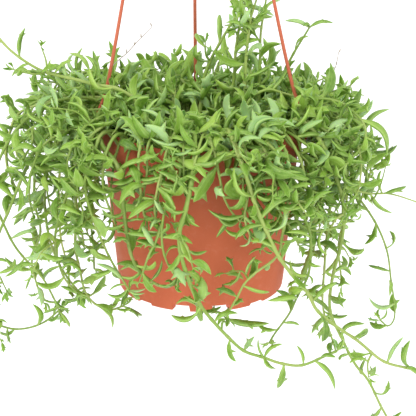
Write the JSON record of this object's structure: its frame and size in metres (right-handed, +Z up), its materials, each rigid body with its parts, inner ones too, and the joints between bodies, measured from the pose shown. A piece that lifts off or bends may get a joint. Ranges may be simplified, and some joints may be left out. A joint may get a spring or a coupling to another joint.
{
  "type": "potted string of dolphins",
  "caption": "Trailing string of dolphins succulent in a terracotta-coloured plastic hanging pot, held by thin arms that meet at a hook.",
  "frame": {"origin": "seat of the hook: the middle of its bar's inner top, where the rail bears", "axes": "+Z up; +X to the right seen from the front; the front, with the longest trailing strands, faces -Y"},
  "size_m": [0.3454, 0.2448, 0.6857],
  "materials": {
    "pot": "semi-matte moulded terracotta-coloured plastic",
    "hanger": "semi-matte moulded terracotta-coloured plastic",
    "potting_mix": "crumbly dark peat and bark",
    "plant": "smooth waxy succulent leaves and pale green stems",
    "dry_stalk": "dry, rough and matt"
  },
  "bodies": {
    "root": {"pot": "pot", "potting_mix": "potting_mix", "hanger_hook": "hanger", "hanger_arm_left": "hanger", "hanger_arm_back": "hanger", "hanger_arm_right": "hanger", "strand_upper_left": "plant", "strand_left_arch": "plant", "strand_left_loop": "plant", "strand_left_inner": "plant", "strand_left_middle": "plant", "strand_left_front": "plant", "strand_left_back": "plant", "strand_front_left": "plant", "strand_front_short": "plant", "strand_front_long": "plant", "strand_front_right": "plant", "strand_front_curl": "plant", "strand_front_sweep": "plant", "strand_right_thick": "plant", "strand_right_straight": "plant", "strand_right_long": "plant", "strand_right_low": "plant", "strand_far_right": "plant", "strand_right_tip": "plant", "strand_right_arch": "plant", "strand_right_back": "plant", "shoot_tall_left": "plant", "shoot_tall_middle": "plant", "shoot_tall_right": "plant", "shoot_pale": "plant", "shoot_right": "plant", "strand_back_1": "plant", "strand_back_2": "plant", "strand_back_3": "plant", "strand_back_4": "plant", "strand_back_5": "plant", "strand_back_6": "plant", "strand_back_7": "plant", "strand_back_8": "plant", "strand_back_9": "plant", "strand_back_10": "plant", "strand_back_11": "plant", "strand_back_12": "plant", "crown_shoot_1": "plant", "crown_shoot_2": "plant", "crown_shoot_3": "plant", "crown_shoot_4": "plant", "crown_shoot_5": "plant", "crown_shoot_6": "plant", "crown_shoot_7": "plant", "crown_shoot_8": "plant", "crown_shoot_9": "plant", "crown_shoot_10": "plant", "crown_shoot_11": "plant", "crown_shoot_12": "plant", "crown_shoot_13": "plant", "crown_shoot_14": "plant", "dry_stalk_left": "dry_stalk", "dry_stalk_right": "dry_stalk"}
  },
  "joints": []
}
